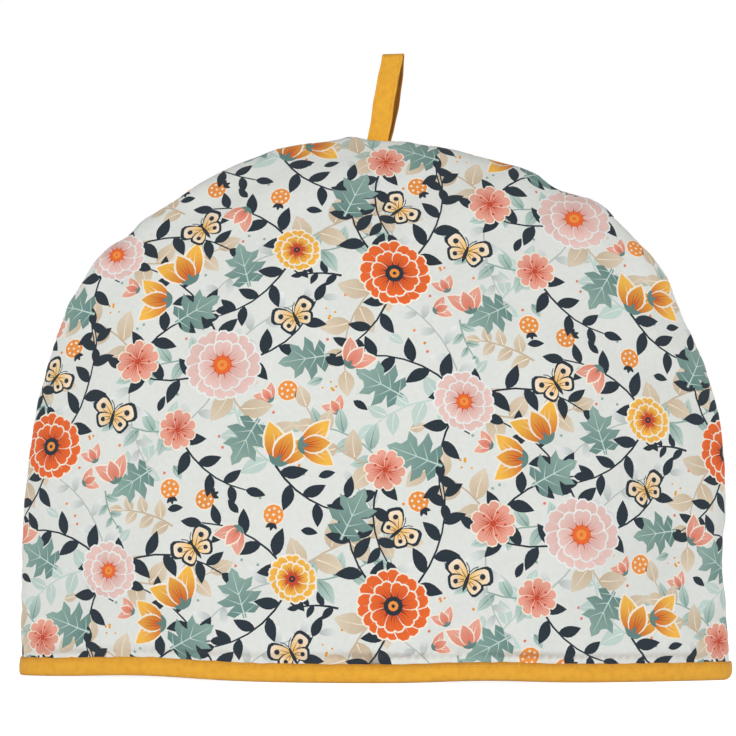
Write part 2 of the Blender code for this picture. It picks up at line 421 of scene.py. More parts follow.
# Each ink's vein, its ink at the leaf's tip, the stem's thickness, the leaf's width over its length
STEM_LOOKS = {
    "navy": (None, "navy", 1.1, 0.46),
    "tan": ("cream", "pale_tan", 0.9, 0.60),
    "mint": ("pale", "mint", 0.9, 0.54),
    "mist": (None, "pale", 0.8, 0.40),
    "sage": ("deep_sage", "mint", 0.9, 0.48),
}

# Flowers and butterflies: kind, x, y, size, turn in degrees, colour
FLOWERS = [
    ("anemone", 28, 28, 32, 10, "orange"),
    ("anemone", 116, 62, 34, 30, "pink"),
    ("anemone", 60, 122, 27, 5, "pink"),
    ("anemone", 150, 118, 21, 0, "mustard"),
    ("blossom", 74, 66, 20, 15, "coral"),
    ("blossom", 95, 32, 18, 50, "coral"),
    ("blossom", 24, 90, 18, 30, "coral"),
    ("tulip", 142, 14, 20, -25, "mustard"),
    ("tulip", 152, 23, 18, -85, "mustard"),
    ("tulip", 100, 104, 20, 30, "mustard"),
    ("tulip", 90, 96, 18, 88, "mustard"),
    ("tulip", 64, 8, 14, 20, "coral"),
    ("tulip", 126, 142, 13, 140, "coral"),
    ("tulip", 6, 138, 14, -40, "coral"),
    ("butterfly", 62, 40, 25, -20, "mustard"),
    ("butterfly", 150, 84, 23, 25, "mustard"),
    ("butterfly", 104, 132, 24, 35, "mustard"),
    ("butterfly", 30, 62, 22, -50, "mustard"),
]

# Leafy stems: x, y, turn in degrees, length, bend in radians, leaves, ink, leaf's length
STEMS = [
    (28, 28, -55, 66, 1.2, 8, "navy", 14),
    (28, 28, 55, 56, -1.1, 7, "navy", 14),
    (28, 28, 175, 50, -1.0, 6, "navy", 13),
    (116, 62, 5, 66, 1.1, 8, "navy", 14),
    (116, 62, -90, 56, 1.2, 7, "navy", 14),
    (116, 62, 120, 52, -1.1, 6, "navy", 14),
    (60, 122, -60, 60, -1.1, 7, "navy", 14),
    (60, 122, 35, 60, 1.2, 7, "navy", 14),
    (60, 122, 140, 50, 1.0, 6, "navy", 13),
    (150, 118, 30, 52, 1.0, 6, "navy", 14),
    (150, 118, 160, 50, -1.0, 6, "navy", 13),
    (24, 90, 150, 44, 1.1, 6, "navy", 13),
    (95, 32, 200, 46, 1.0, 6, "navy", 13),
    (74, 66, -30, 46, -1.0, 6, "navy", 13),
    (142, 14, -150, 44, 1.0, 6, "navy", 13),
    (116, 62, 190, 56, 1.1, 6, "tan", 17),
    (74, 66, 30, 54, 1.0, 6, "tan", 16),
    (28, 28, 120, 56, 1.2, 6, "tan", 17),
    (60, 122, -120, 54, 1.0, 6, "tan", 16),
    (150, 118, -40, 54, -1.0, 6, "tan", 16),
    (24, 90, 80, 48, -1.0, 5, "tan", 15),
    (28, 28, -5, 60, 0.8, 7, "mist", 12),
    (116, 62, -30, 58, -0.9, 7, "mist", 12),
    (60, 122, 5, 56, 0.9, 7, "mist", 12),
    (150, 118, 95, 54, 0.9, 7, "mist", 12),
    (74, 66, 160, 52, 0.9, 6, "mist", 12),
    (95, 32, -60, 50, 0.9, 6, "mist", 12),
    (24, 90, 30, 44, 1.1, 6, "sage", 14),
    (150, 118, -100, 46, 1.0, 6, "sage", 14),
    (116, 62, 70, 44, 0.8, 6, "sage", 14),
    (95, 32, 100, 40, -0.9, 5, "sage", 13),
    (64, 8, -70, 40, 0.9, 5, "mint", 14),
    (60, 122, 80, 44, 0.9, 6, "mint", 14),
    (142, 14, 60, 40, -1.0, 5, "mint", 14),
]

# Broad leaves: x, y, turn in degrees, size; then the right half of their edge at size 1
LOBED_LEAVES = [
    (50, 92, 70, 27),
    (92, 84, -60, 25),
    (4, 58, -25, 26),
    (82, 14, 120, 24),
    (134, 36, 150, 25),
    (32, 124, 60, 25),
    (128, 100, 15, 24),
    (166, 66, 100, 24),
]
LOBED_EDGE = [
    (0.03, 0.00), (0.04, 0.10), (0.20, 0.05), (0.33, 0.14), (0.22, 0.22), (0.13, 0.27), (0.30, 0.28),
    (0.45, 0.42), (0.29, 0.45), (0.16, 0.50), (0.28, 0.56), (0.36, 0.73), (0.20, 0.71), (0.11, 0.78),
    (0.10, 0.88),
]

# Small things for the gaps: kind, length, room round it, tries, inks to pick from
FILLERS = [
    ("berry", 9.5, 6.0, 70, ("amber",)),
    ("sprig", 27, 4.8, 600, ("tan", "sage", "tan", "navy", "tan")),
    ("bud", 9, 4.8, 160, ("coral",)),
    ("sprig", 18, 3.9, 800, ("navy", "tan", "sage", "mint")),
    ("dots", 6, 3.6, 200, ("amber", "coral", "mustard")),
    ("leaf", 8, 2.9, 900, ("navy", "sage", "tan", "mint")),
    ("dots", 2, 2.0, 300, ("amber", "sage", "coral")),
]


def moved(points, x, y, turn=0.0):
    c = cos(turn)
    s = sin(turn)
    return [(x + px * c - py * s, y + px * s + py * c) for px, py in points]


def ahead_of(x, y, turn, reach):
    """The place this far ahead of (x, y), where a turn of 0 heads up the cloth."""
    return x - reach * sin(turn), y + reach * cos(turn)


def disc(radius, corners=12):
    turns = [2 * pi * k / corners for k in range(corners)]
    return [(radius * cos(turn), radius * sin(turn)) for turn in turns]


def blade(length, width, bend=0.0, fat=0.85, steps=6):
    """A leaf from its foot at the origin up +Y, bending sideways, widest at about fat's place."""
    middle = [(bend * length * (k / steps) ** 2, length * k / steps) for k in range(steps + 1)]
    halves = [width / 2 * sin(pi * (k / steps) ** fat) ** 0.9 for k in range(1, steps)]
    right = [(x + half, y - half * bend) for (x, y), half in zip(middle[1:], halves)]
    left = [(x - half, y + half * bend) for (x, y), half in zip(middle[1:], halves)]
    return [middle[0]] + right + [middle[-1]] + left[::-1]


def rib(length, bend=0.0, start=0.08, stop=0.88, thick=0.5, steps=3):
    """A thin line up the middle of a blade."""
    line = []
    for k in range(steps + 1):
        t = start + (stop - start) * k / steps
        line.append((bend * length * t * t, length * t, thick / 2 * (1 - 0.8 * k / steps)))
    return [(x + half, y) for x, y, half in line] + [(x - half, y) for x, y, half in line[::-1]]


def petal(length, width, notch=0.0, belly=1.5, steps=4):
    """A petal from its foot at the origin up +Y, widest near its end, with a notch or a round tip."""
    right = []
    for k in range(steps + 1):
        t = k / steps
        half = width / 2 * (0.16 + 0.84 * sin(pi / 2 * min(t ** belly * 1.25, 1.0)))
        right.append((half, length * 0.84 * t))
    right += [(width * 0.36, length * 0.97), (width * 0.14, length)]
    return right + [(0.0, length * (1 - notch))] + mirrored(right)


def mirrored(half):
    """The left half of an even outline, from the top of its right half back down."""
    return [(-x, y) for x, y in half[::-1]]


def streak(foot, tip, lean=0.0, thick=0.64):
    """A fine wedge from near a petal's foot to near its tip."""
    return [(-thick / 2, foot), (thick / 2, foot), (lean, tip)]


def stroke(points, thick, taper=0.4):
    """A line of a given thickness through points, a little thinner at its end."""
    left = []
    right = []
    last = len(points) - 1
    for k, (x, y) in enumerate(points):
        x0, y0 = points[max(k - 1, 0)]
        x1, y1 = points[min(k + 1, last)]
        length = sqrt((x1 - x0) ** 2 + (y1 - y0) ** 2) or 1.0
        half = thick / 2 * (1 - taper * k / last) / length
        left.append((x - (y1 - y0) * half, y + (x1 - x0) * half))
        right.append((x + (y1 - y0) * half, y - (x1 - x0) * half))
    return left + right[::-1]


def along_arc(x, y, turn, length, bend, steps):
    """A stem's line from (x, y), heading by turn and curving by bend radians over its length."""
    line = [(x, y, turn)]
    for k in range(steps):
        heading = turn + bend * (k + 0.5) / steps
        x += -sin(heading) * length / steps
        y += cos(heading) * length / steps
        line.append((x, y, turn + bend * (k + 1) / steps))
    return line


class Layer:
    """Inked shapes in painting order: (outline, ink, second ink, shading start, shading end)."""

    def __init__(self):
        self.shapes = []

    def add(self, outline, x, y, turn, ink, fade=None, reach=1.0):
        """Puts an outline drawn at the origin on the cloth, shaded up to reach along its own +Y."""
        end = ahead_of(x, y, turn, reach)
        self.shapes.append((moved(outline, x, y, turn), ink, fade or ink, (x, y), end))

    def leaf(self, x, y, turn, length, ink, width=0.42, bend=0.0, vein=None, fade=None):
        self.add(blade(length, length * width, bend), x, y, turn, ink, fade, length)
        if vein:
            self.add(rib(length, bend), x, y, turn, vein)

    def streaks(self, x, y, turn, foot, tips, ink, lean=0.0, thick=0.64):
        """Fine wedges fanned out from a petal's foot: (turn of each, how far up its tip is)."""
        for fan, tip in tips:
            self.add(streak(foot, tip, lean, thick), x, y, turn + fan, ink)

    def sprig(self, x, y, turn, length, bend, leaves, ink, leaf):
        """A curved stem with leaves on alternate sides, smaller towards its end. Returns its line."""
        vein, fade, thick, width = STEM_LOOKS[ink]
        steps = max(6, leaves * 2)
        line = along_arc(x, y, turn, length, bend, steps)
        self.add(stroke([(px, py) for px, py, _ in line[::2]], thick), 0, 0, 0, ink)
        for k in range(leaves):
            place = (k + 1.0) / (leaves + 0.6)
            px, py, heading = line[min(int(place * steps), steps)]
            side = 1 if k % 2 == 0 else -1
            self.leaf(px, py, heading + side * 0.85, leaf * (1.05 - 0.35 * place), ink, width,
                      -side * 0.18, vein, fade)
        self.leaf(*line[-1], leaf * 0.75, ink, width, 0.05, vein, fade)
        return line

    def lobed_leaf(self, x, y, turn, size):
        """A broad leaf with three pairs of pointed lobes, its midrib and side veins."""
        edge = [(px * size, py * size) for px, py in LOBED_EDGE]
        self.add(edge + [(0.0, size)] + mirrored(edge), x, y, turn, "deep_sage", "sage", size)
        self.add(rib(size, 0.0, 0.0, 0.9, 0.8), x, y, turn, "mint")
        for foot, lean in ((0.08, 1.15), (0.26, 0.95), (0.46, 0.75)):
            place = ahead_of(x, y, turn, foot * size)
            self.streaks(*place, turn, 0, ((-lean, size * 0.33), (lean, size * 0.33)), "mint", thick=0.5)

    def anemone(self, x, y, turn, size, colour):
        """A round flower of two rings of separate petals with an eye and a ring of dots."""
        main, edge, vein = PETAL_INKS[colour]
        for reach, count, slim, shift, fine in ((0.5, 9, 0.66, 0.0, edge), (0.35, 7, 0.72, 0.35, vein)):
            for k in range(count):
                angle = turn + shift + 2 * pi * k / count
                length = size * reach * (1 + 0.06 * sin(5 * k + 18 * reach))
                self.add(petal(length + 0.8, length * slim + 1.1, 0.05), x, y, angle, edge)
                self.add(petal(length, length * slim, 0.07), x, y, angle, vein, main, length * 0.9)
                tips = ((-0.20, length * 0.72), (0.0, length * 0.86), (0.20, length * 0.72))
                self.streaks(x, y, angle, length * 0.34, tips, fine)
        self.eye(x, y, turn, size * 0.12, colour)

    def eye(self, x, y, turn, radius, colour):
        ring, dots, core = EYE_INKS[colour]
        self.add(disc(radius * 1.15), x, y, turn, ring)
        for k in range(11):
            angle = turn + 2 * pi * k / 11
            self.add(streak(radius, radius * (1.7 + 0.2 * (k % 2)), 0.0, 0.7), x, y, angle, dots)
        self.add(disc(radius * 0.62, 9), x, y, turn, core)
        self.add(disc(radius * 0.25, 5), x, y, turn, ring)

    def blossom(self, x, y, turn, size, colour):
        """Five broad petals with notched ends and long stamens."""
        main, edge, vein = PETAL_INKS[colour]
        radius = size / 2
        for k in range(5):
            angle = turn + 2 * pi * k / 5
            self.add(petal(radius + 0.6, radius * 1.06, 0.14, 1.1), x, y, angle, edge)
            self.add(petal(radius, radius * 0.95, 0.16, 1.1), x, y, angle, vein, main, radius * 0.8)
            tips = [(fan, radius * 0.78) for fan in (-0.22, 0.0, 0.22)]
            self.streaks(x, y, angle, radius * 0.18, tips, "red", thick=0.5)
        for k in range(5):
            angle = turn + 2 * pi * (k + 0.5) / 5
            self.add(streak(0, radius * 0.55, 0.0, 0.5), x, y, angle, "red")
            self.add(disc(0.65, 5), *ahead_of(x, y, angle, radius * 0.55), 0, "red")
        self.add(disc(radius * 0.16, 8), x, y, 0, "red")

    def tulip(self, x, y, turn, size, colour):
        """A half-open cup seen from the side: two outer petals, one in front, and a calyx."""
        main, edge, vein = PETAL_INKS[colour]
        for side in (-1, 1):
            angle = turn - side * 0.34
            self.add(blade(size * 1.05, size * 0.56, side * 0.26, 1.05), x, y, angle, edge)
            self.add(blade(size, size * 0.46, side * 0.26, 1.05), x, y, angle, vein, main, size * 0.8)
            tips = ((-0.10, size * 0.82), (0.06, size * 0.82))
            self.streaks(x, y, angle, size * 0.3, tips, edge, side * size * 0.10)
        self.add(blade(size * 0.90, size * 0.52, 0.0, 1.0), x, y, turn, edge)
        self.add(blade(size * 0.84, size * 0.42, 0.0, 1.0), x, y, turn, vein, main, size)
        self.streaks(x, y, turn, size * 0.22, [(fan, size * 0.66) for fan in (-0.16, 0.0, 0.16)], vein)
        for side in (-1, 0, 1):
            self.leaf(x, y, turn + side * 0.8, size * 0.30, "deep_sage", 0.42, side * -0.2)

    def butterfly(self, x, y, turn, span, colour):
        """Four plain round wings, a thin body and two feelers."""
        main, edge, _ = PETAL_INKS[colour]
        for side in (-1, 1):
            for lean, length, width in ((1.05, 0.50 * span, 0.36 * span), (2.05, 0.36 * span, 0.30 * span)):
                angle = turn + side * lean
                self.add(petal(length, width, 0.0, 0.9), x, y, angle, "navy")
                self.add(petal(length * 0.86, width * 0.78, 0.0, 0.9), x, y, angle, main, edge, length)
                self.add(disc(width * 0.16, 7), *ahead_of(x, y, angle, length * 0.6), 0, "navy")
                tips = ((-0.2, length * 0.7), (0.2, length * 0.7))
                self.streaks(x, y, angle, 0.06 * span, tips, "navy", thick=0.016 * span)
            feeler = [(side * px * span, py * span) for px, py in ((0.0, 0.14), (0.05, 0.24), (0.12, 0.30))]
            self.add(stroke(feeler, span * 0.018, 0.0), x, y, turn, "navy")
        tail = ahead_of(x, y, turn, -0.25 * span)
        self.add(blade(0.42 * span, 0.08 * span), *tail, turn, "navy")

    def berry(self, x, y, turn, size, ink):
        radius = size / 2
        self.add(disc(radius + 0.5, 11), x, y, turn, "cream")
        self.add(disc(radius, 11), x, y, turn, ink)
        for k in range(8):
            place = ahead_of(x, y, turn + 2 * pi * k / 7, radius * (0.62 if k else 0.0))
            self.add(disc(radius * 0.16, 4), *place, 0, "cream")
        foot = ahead_of(x, y, turn, -radius * 0.8)
        for side in (-1, 0, 1):
            self.leaf(*foot, turn + pi + side * 0.8, radius * 0.8, "navy", 0.5)

    def dots(self, x, y, turn, size, ink):
        for k in range(1 if size < 3 else 5):
            place = ahead_of(x, y, turn + 1.3 * k, size * 0.18 * k)
            self.add(disc(0.8 - 0.07 * k, 5), *place, 0, ink)


def clearance(x, y, taken):
    """How far a place is from everything already drawn, copies of the repeat included."""
    across = x - taken[:, 0]
    column = np.round(across / REPEAT_WIDTH)
    up = y - taken[:, 1] + 0.5 * (column % 2) * REPEAT_HEIGHT
    up -= np.round(up / REPEAT_HEIGHT) * REPEAT_HEIGHT
    return np.min(np.hypot(across - column * REPEAT_WIDTH, up) - taken[:, 2])


def fill_gaps(layer, taken):
    """Small things wherever there is room, the longest first."""
    draw = random.Random(7)
    for kind, size, room, tries, inks in FILLERS:
        spread = (-0.4, 0.0, 0.4) if kind in ("sprig", "leaf") else (0.0,)
        for attempt in range(tries):
            x = draw.uniform(0, REPEAT_WIDTH)
            y = draw.uniform(0, REPEAT_HEIGHT)
            turn = draw.uniform(-pi, pi)
            line = [ahead_of(x, y, turn, part * size) for part in spread]
            if min(clearance(px, py, np.array(taken)) for px, py in line) < room:
                continue
            taken.extend((px, py, room * 0.8) for px, py in line)
            ink = inks[attempt % len(inks)]
            foot = ahead_of(x, y, turn, -size / 2)
            if kind == "sprig":
                layer.sprig(*foot, turn - 0.25, size, 0.5, int(size / 4.2), ink, size * 0.25 + 3.5)
            elif kind == "leaf":
                vein, fade, _, width = STEM_LOOKS[ink]
                layer.leaf(*foot, turn, size, ink, width, 0.1, vein, fade)
            elif kind == "bud":
                layer.tulip(*foot, turn, size, ink)
            else:
                getattr(layer, kind)(x, y, turn, size, ink)


def make_repeat():
    """One repeat of the print: fillers, then stems, broad leaves and flowers on top."""
    fillers, stems, leaves, flowers = Layer(), Layer(), Layer(), Layer()
    taken = []
    for kind, x, y, size, turn, colour in FLOWERS:
        turn = radians(turn)
        getattr(flowers, kind)(x, y, turn, size, colour)
        reach = size * 0.5 if kind == "tulip" else 0.0
        taken.append((*ahead_of(x, y, turn, reach), size * 0.46))
    for x, y, turn, size in LOBED_LEAVES:
        turn = radians(turn)
        leaves.lobed_leaf(x, y, turn, size)
        taken.extend((*ahead_of(x, y, turn, part * size), size * 0.3) for part in (0.25, 0.6))
    for x, y, turn, length, bend, count, ink, leaf in STEMS[::-1]:
        line = stems.sprig(x, y, radians(turn), length, bend, count, ink, leaf)
        taken.extend((px, py, leaf * 0.36) for px, py, _ in line[1:])
    fill_gaps(fillers, taken)
    return fillers.shapes + stems.shapes + leaves.shapes + flowers.shapes


# ================================================================ cutting the printed panels
SEAM_POINTS = 260
HEM_POINTS = 150
OUTER_PITCH = 3.9
INNER_PITCH = 9.0
HEM_ROWS = (2.5, 5.0, 8.2, 9.4, 10.6, 12.0, 14.0, 16.5, 19.5)
SEAM_INSETS = (0.6, 1.3, 2.1, 3.1, 4.4, 6.2, 8.4)
SEAM_MARGIN = 11.0
# Longest step of an outline where the cloth bends: this near the seam or the hem
LONGEST_STEP = 2.9
BENT_SEAM = 11.0
BENT_HEM = 18.0
# Rings of points along the seam: its length, the points' spacing there, how that grows inward and
# how far the rings stay over the hem
SEAM_RUN = 700
SEAM_STEP = 1.6
SEAM_STEP_GROWTH = 0.3
HEM_CLEARANCE = 1.2
# How close to the edge a place counts as on it, across the seam and above the hem
SEAM_MATCH = 0.02
HEM_MATCH = 0.02
# How much lighter or darker than its ink a printed shape is, at most
INK_SHADE = 0.04
# The texture for baking: the outer face fills it up to here, the inner face lies above, and beside
# that the rim is a strip between two heights
PRINT_SHARE = 0.79
PRINT_SCALE = 0.992
PRINT_MARGIN = 0.004
INNER_TOP = 0.985
INNER_MARGIN = 0.01
RIM_STRIP = (0.84, 0.88)
RIM_FILL = 0.9


def reach_of(flat):
    return np.hypot(flat[:, 0], flat[:, 1])


def panel_outline(cloth):
    """The flat panel's edge in millimetres: over the dome from the right, then back along the hem."""
    angles = np.linspace(0, pi, SEAM_POINTS)
    reach = cloth.flat_reach(angles) / MM
    seam = [(r * cos(a), abs(r * sin(a))) for r, a in zip(reach, angles)]
    seam[0] = (seam[0][0], 0.0)
    seam[-1] = (seam[-1][0], 0.0)
    hem = np.linspace(seam[-1][0], seam[0][0], HEM_POINTS + 2)[1:-1]
    return seam + [(float(x), 0.0) for x in hem]


def inner_places(cloth, pitch, rows, insets, margin):
    """Even places inside a flat panel, closer together near the hem and along the seam."""
    top = float(cloth.reach.max()) / MM
    heights = list(rows)
    while heights[-1] < top:
        heights.append(heights[-1] + pitch)
    blocks = []
    for number, height in enumerate(heights):
        x = np.arange(-top + (number % 2) * pitch / 2, top, pitch)
        row = np.stack([x, np.full(len(x), float(height))], axis=1)
        blocks.append(row[reach_of(row) < cloth.flat_reach(turn_of(row)) / MM - margin])
    for inset in insets:
        angle = np.linspace(0, pi, int(SEAM_RUN / (SEAM_STEP + inset * SEAM_STEP_GROWTH)))
        reach = cloth.flat_reach(angle) / MM - inset
        ring = np.stack([reach * np.cos(angle), reach * np.sin(angle)], axis=1)
        blocks.append(ring[ring[:, 1] > HEM_CLEARANCE])
    return [tuple(place) for place in np.concatenate(blocks)]


def anticlockwise(outline):
    area = sum(x0 * y1 - x1 * y0 for (x0, y0), (x1, y1) in zip(outline, outline[1:] + outline[:1]))
    return outline if area > 0 else outline[::-1]


def split_steps(points, cloth):
    """An outline with its long steps split where the cloth bends most, near the seam and the hem."""
    ahead = np.roll(points, -1, axis=0)
    middle = (points + ahead) / 2
    to_seam = cloth.flat_reach(turn_of(middle)) / MM - reach_of(middle)
    bent = (to_seam < BENT_SEAM) | (middle[:, 1] < BENT_HEM)
    parts = np.where(bent, np.ceil(reach_of(ahead - points) / LONGEST_STEP), 1).astype(int)
    if parts.max() < 2:
        return points
    return np.concatenate([start + (stop - start) * np.arange(count)[:, None] / count
                           for start, stop, count in zip(points, ahead, np.maximum(parts, 1))])


def lay_print(cloth, repeat, shift_x, shift_y):
    """The repeat's shapes laid over a panel in painting order, without those that miss it."""
    laid = []
    widest = float(cloth.reach.max()) / MM
    drops = [(column * REPEAT_WIDTH + shift_x, (row - 0.5 * (column % 2)) * REPEAT_HEIGHT + shift_y)
             for column in range(-3, 4) for row in range(-2, 5)]
    for outline, ink, fade, start, end in repeat:
        points = np.array(anticlockwise(outline))
        middle = points.mean(axis=0)
        size = reach_of(points - middle).max()
        for x, y in drops:
            if middle[1] + y < -size or np.hypot(middle[0] + x, middle[1] + y) > widest + size:
                continue
            placed = points + (x, y)
            limit = cloth.flat_reach(turn_of(placed)) / MM
            if np.any((placed[:, 1] > 0) & (reach_of(placed) < limit)):
                laid.append((split_steps(placed, cloth), ink, fade,
                             (start[0] + x, start[1] + y), (end[0] + x, end[1] + y)))
    return laid


def split_cloth(outline, shapes, places):
    """Triangulates a flat panel along its printed edges. Returns points, triangles, top shape of each."""
    points = list(outline) + list(places)
    faces = [list(range(len(outline)))]
    for placed in shapes:
        faces.append(list(range(len(points), len(points) + len(placed))))
        points.extend(map(tuple, placed.tolist()))
    result = delaunay_2d_cdt([Vector(point) for point in points], [], faces, 0, 0.0004, True)
    flat = np.array([tuple(point) for point in result[0]])
    kept = [number for number, owners in enumerate(result[5]) if 0 in owners]
    triangles = np.array([result[2][number] for number in kept])
    centres = flat[triangles].mean(axis=1).tolist()
    boxes = [(-1e9, -1e9, 1e9, 1e9)] + [(*placed.min(axis=0), *placed.max(axis=0)) for placed in shapes]
    tops = []
    for number, (x, y) in zip(kept, centres):
        for owner in sorted(result[5][number], reverse=True):
            x0, y0, x1, y1 = boxes[owner]
            if x0 < x < x1 and y0 < y < y1:
                tops.append(owner)
                break
    used, numbers = np.unique(triangles, return_inverse=True)
    return flat[used], numbers.reshape(-1, 3), np.array(tops)


def border_of(triangles):
    """The triangles' border as one loop of point numbers, in the triangles' own direction."""
    steps = {(face[k - 1], face[k]) for face in triangles.tolist() for k in range(3)}
    following = {start: end for start, end in steps if (end, start) not in steps}
    loop = [min(following)]
    while following[loop[-1]] != loop[0]:
        loop.append(following[loop[-1]])
    return loop


def linear(colour):
    """An ink or thread's colour, given as 0 to 255 for a screen, as linear light."""
    part = np.array(colour) / 255
    return np.where(part <= 0.04045, part / 12.92, ((part + 0.055) / 1.055) ** 2.4)


def corner_colours(flat, triangles, tops, shapes):
    """Each corner's ink: its shape's two inks, shaded from the shape's start to its end."""
    inks = {name: linear(colour) for name, colour in INKS.items()}
    colours = np.tile((*inks["ground"], 1), (len(triangles), 3, 1))
    for number, (_, ink, fade, start, end) in enumerate(shapes, start=1):
        chosen = np.nonzero(tops == number)[0]
        if len(chosen):
            along = np.array(end) - np.array(start)
            corners = flat[triangles[chosen]]
            share = np.clip((corners - start) @ along / max(along @ along, 1e-9), 0, 1)[..., None]
            shade = 1 + INK_SHADE * sin(12.9 * number)
            colours[chosen, :, :3] = (inks[ink] * (1 - share) + inks[fade] * share) * shade
    return colours


def bake_places(flat, inner_flat, rim_count):
    """Places on the texture of each point, then of each rim face's corners."""
    span = flat[:, 0].max() - flat[:, 0].min()
    outer, inner = ((places / span + (0.5, 0)) for places in (flat, inner_flat))
    small = (INNER_TOP - PRINT_SHARE - 2 * INNER_MARGIN) / max(outer[:, 1].max(), inner[:, 1].max())
    outer = outer * PRINT_SCALE + PRINT_MARGIN
    inner = inner * small + (INNER_MARGIN, PRINT_SHARE + INNER_MARGIN)
    left = inner[:, 0].max() + 2 * INNER_MARGIN
    width = 1 - INNER_MARGIN - left
    number = np.arange(rim_count)
    start, stop = (left + width * (number + part) / rim_count for part in (0, RIM_FILL))
    across = np.stack([stop, start, start, stop], axis=1)
    up = np.tile(np.repeat(RIM_STRIP, 2), (rim_count, 1))
    return np.concatenate([outer, inner]), np.stack([across, up], axis=2)


def put(name, data):
    piece = bpy.data.objects.new(name, data)
    bpy.context.scene.collection.objects.link(piece)
    return piece


def new_mesh(name, places, faces, material):
    mesh = bpy.data.meshes.new(name)
    mesh.from_pydata(places, [], faces)
    mesh.materials.append(material)
    mesh.shade_smooth()
    return mesh


def panel_piece(name, cloth, repeat, shift, material):
    """One padded panel as a closed mesh: printed outer face, plain inner face and the rim between."""
    shapes = lay_print(cloth, repeat, *shift)
    grid = inner_places(cloth, OUTER_PITCH, HEM_ROWS, SEAM_INSETS, SEAM_MARGIN)
    flat, triangles, tops = split_cloth(panel_outline(cloth), [shape[0] for shape in shapes], grid)
    loop = border_of(triangles)
    inner_grid = inner_places(cloth, INNER_PITCH, (INNER_PITCH,), (), INNER_PITCH * 0.8)
    inner_flat, inner_triangles, _ = split_cloth([tuple(flat[i]) for i in loop], [], inner_grid)

    angle, step = cloth.locate(flat * MM)
    on_edge = np.abs(reach_of(flat) * MM - cloth.flat_reach(angle)) < SEAM_MATCH * MM
    on_edge[loop] |= flat[loop, 1] > HEM_MATCH
    step[on_edge] = 1.0
    inner_angle = turn_of(inner_flat)
    inner_part = np.clip(reach_of(inner_flat) * MM / cloth.flat_reach(inner_angle), 0, 1)
    inner_part[:len(loop)][on_edge[loop]] = 1.0
    places = np.concatenate([cloth.outside(angle, step), cloth.inside(inner_angle, inner_part)])
    normals = np.concatenate([cloth.facing(cloth.outside, angle, step),
                              -cloth.facing(cloth.inside, inner_angle, inner_part)])

    first = len(flat)
    rim = [[loop[k], loop[k - 1], first + (k - 1) % len(loop), first + k] for k in range(len(loop))]
    sheets = triangles.tolist() + (inner_triangles[:, ::-1] + first).tolist()
    turned = 1 if cloth.side < 0 else -1
    faces = [face[::turned] for face in sheets + rim]
    on_sheets = np.array([corner for face in faces[:len(sheets)] for corner in face])
    mesh = new_mesh(name, places.tolist(), faces, material)

    colours = [corner_colours(flat, triangles, tops, shapes),
               np.tile((*linear(INKS["lining"]), 1), (len(inner_triangles), 3, 1)),
               np.tile((*linear(INKS["ground"]), 1), (len(rim), 4, 1))]
    layer = mesh.color_attributes.new("print", "FLOAT_COLOR", "CORNER")
    layer.data.foreach_set("color", np.concatenate([block[:, ::turned].reshape(-1) for block in colours]))

    flat_places = np.concatenate([flat, inner_flat]) * MM
    point_uv, rim_uv = bake_places(flat, inner_flat, len(rim))
    rim_corners = np.array(faces[len(sheets):])
    layers = {"cloth": (flat_places, flat_places[rim_corners]), "OFBake": (point_uv, rim_uv[:, ::turned])}
    for layer_name, (of_points, of_rim) in layers.items():
        layer = mesh.uv_layers.new(name=layer_name)
        layer.data.foreach_set("uv", np.concatenate([of_points[on_sheets].reshape(-1), of_rim.reshape(-1)]))
    mesh.uv_layers.active = mesh.uv_layers["cloth"]

    mesh.validate()
    mesh.update()
    rim_normals = np.array([face.normal[:] for face in mesh.polygons[-len(rim):]])
    normals = np.concatenate([normals[on_sheets], np.repeat(rim_normals, 4, axis=0)])
    mesh.normals_split_custom_set(normals.tolist())
    return put(name, mesh)


# ================================================================ hem binding and hanging loop
BINDING_STATIONS = 460
HALF_HEM_STEPS = 240
TAPE_FACE = GAP + TAPE_THICKNESS
TAPE_STITCH_DROP = 0.0017
TAPE_RISE = 0.00022
TAPE_SWELL = 0.00012
# How much the tape slims where it turns the panels' two tips
TIP_SLIMMING = 0.6
# Painted shade on the tape's inner face, inside the cosy
TAPE_INNER_PAINTED_SHADE = 0.85
STITCH_LENGTH = 0.0023
STITCH_PITCH = 0.0030
THREAD_RADIUS = 0.00022
# A stitch's rings: how far along its length, then how thick and how far out in thread radii
STITCH_RINGS = [
    (-0.50, 0.25, -1.0),
    (-0.34, 0.85, 0.1),
    (0.0, 1.0, 0.55),
    (0.34, 0.85, 0.1),
    (0.50, 0.25, -1.0),
]
STITCH_CORNERS = 6
# How far before and behind itself a ring looks for the way its thread heads
STITCH_LOOK = 0.0003
STRAP_SIDE_STEPS = 44
STRAP_FOLD_STEPS = 7
STRAP_STITCH_INSET = 0.0014
# Steps of the strap inside the seam that its stitching leaves out, and how deep its threads lie
STRAP_UNSEWN_STEPS = 6
STRAP_THREAD_LEVEL = 0.78
# Painted shade on the strap's faces between its two layers
STRAP_INNER_PAINTED_SHADE = 0.42
# How much faster red, green and blue fade in the painted shade of folds and recesses
PAINTED_SHADE_WARMTH = np.array([1.0, 1.25, 1.6])
